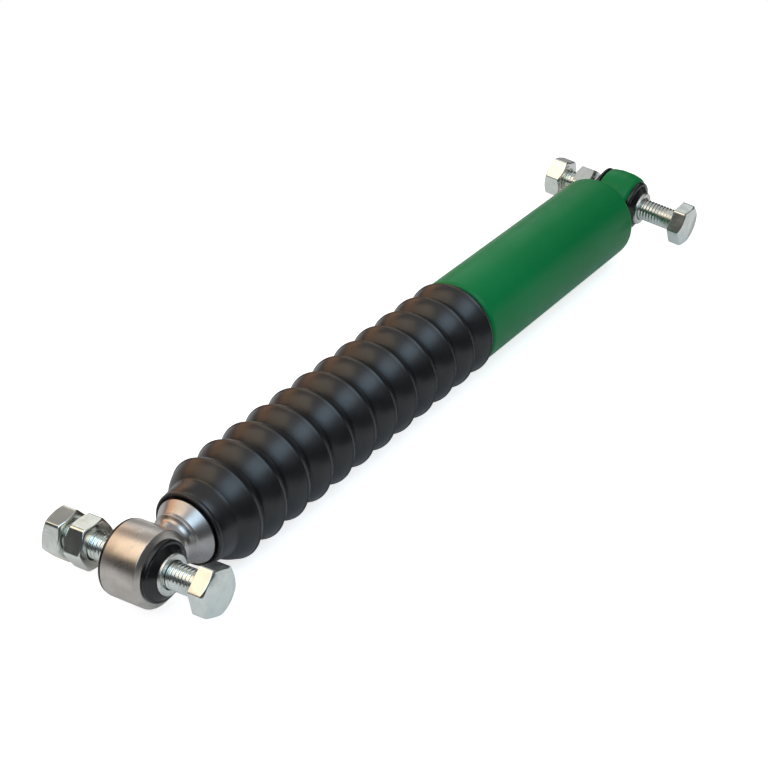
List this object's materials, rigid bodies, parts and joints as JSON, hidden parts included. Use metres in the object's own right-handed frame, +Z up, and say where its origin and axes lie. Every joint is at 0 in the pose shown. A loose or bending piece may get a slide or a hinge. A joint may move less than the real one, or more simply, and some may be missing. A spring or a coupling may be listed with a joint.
{
  "type": "shock absorber",
  "caption": "Hydraulic damper with a rubber-bushed eye and a through bolt at each end, a long rubber bellows over its rod and an enamelled tube.",
  "frame": {"origin": "centre of the body eye's sleeve", "axes": "+X from the rod eye to the body eye, along the rod; +Y along the body eye's bolt, from its head to its nuts; +Z up"},
  "size_m": [0.3685, 0.0766, 0.0408],
  "materials": {
    "green_enamel": "satin baked enamel over steel tube",
    "bellows_rubber": "moulded, slightly glossy",
    "bush_rubber": "moulded, glossy",
    "turned_steel": "turned, bare",
    "zinc_steel": "zinc plated",
    "sleeve_steel": "cut and plated tube",
    "rod_chrome": "ground and hard chromed",
    "tube_steel": "drawn steel, honed bore",
    "sintered_steel": "sintered",
    "valve_steel": "blued spring steel",
    "ring_plastic": "bronze filled slide ring"
  },
  "bodies": {
    "damper_body": {"outer_tube": "green_enamel", "body_eye": "green_enamel", "body_eye_bush": "bush_rubber", "pressure_tube": "tube_steel", "rod_guide": "sintered_steel", "rod_seal": "bush_rubber", "seal_retainer": "valve_steel", "base_valve": "sintered_steel", "base_valve_disc": "valve_steel", "base_valve_pin": "tube_steel"},
    "bellows_boot": {"bellows": "bellows_rubber"},
    "rod": {"rod_end": "turned_steel", "piston_rod": "rod_chrome", "rebound_stop": "tube_steel", "compression_discs": "valve_steel", "piston": "sintered_steel", "piston_ring": "ring_plastic", "rebound_discs": "valve_steel", "piston_nut": "zinc_steel", "rod_eye_bush": "bush_rubber"},
    "rod_sleeve": {"rod_eye_sleeve": "sleeve_steel"},
    "rod_bolt": {"rod_bolt": "zinc_steel"},
    "rod_inner_nut": {"rod_inner_nut": "zinc_steel"},
    "rod_outer_nut": {"rod_outer_nut": "zinc_steel"},
    "body_sleeve": {"body_eye_sleeve": "sleeve_steel"},
    "body_bolt": {"body_bolt": "zinc_steel"},
    "body_inner_nut": {"body_inner_nut": "zinc_steel"},
    "body_outer_nut": {"body_outer_nut": "zinc_steel"}
  },
  "joints": [
    {"name": "rod_slide", "type": "slide", "parent": "damper_body", "child": "bellows_boot", "axis": [1, 0, 0], "range_m": [0, 0.07], "deforming": ["bellows"]},
    {"name": "rod_turn", "type": "hinge", "parent": "bellows_boot", "child": "rod", "pos_m": [-0.341, 0, 0], "axis": [1, 0, 0], "continuous": true},
    {"name": "rod_eye_twist", "type": "hinge", "parent": "rod", "child": "rod_sleeve", "pos_m": [-0.341, 0, 0], "axis": [0, 0.988, -0.1547], "range_deg": [-15, 15], "stiffness_Nm_per_rad": 18},
    {"name": "rod_bolt_turn", "type": "hinge", "parent": "rod_sleeve", "child": "rod_bolt", "pos_m": [-0.341, 0, 0], "axis": [0, 0.988, -0.1547], "continuous": true},
    {"name": "rod_inner_nut_turn", "type": "hinge", "parent": "rod_bolt", "child": "rod_inner_nut", "pos_m": [-0.341, 0, 0], "axis": [0, 0.988, -0.1547], "continuous": true},
    {"name": "rod_outer_nut_turn", "type": "hinge", "parent": "rod_bolt", "child": "rod_outer_nut", "pos_m": [-0.341, 0, 0], "axis": [0, 0.988, -0.1547], "continuous": true},
    {"name": "body_eye_twist", "type": "hinge", "parent": "damper_body", "child": "body_sleeve", "pos_m": [0, 0, 0], "axis": [0, 1, 0], "range_deg": [-15, 15], "stiffness_Nm_per_rad": 18},
    {"name": "body_bolt_turn", "type": "hinge", "parent": "body_sleeve", "child": "body_bolt", "pos_m": [0, 0, 0], "axis": [0, 1, 0], "continuous": true},
    {"name": "body_inner_nut_turn", "type": "hinge", "parent": "body_bolt", "child": "body_inner_nut", "pos_m": [0, 0, 0], "axis": [0, 1, 0], "continuous": true},
    {"name": "body_outer_nut_turn", "type": "hinge", "parent": "body_bolt", "child": "body_outer_nut", "pos_m": [0, 0, 0], "axis": [0, 1, 0], "continuous": true}
  ]
}
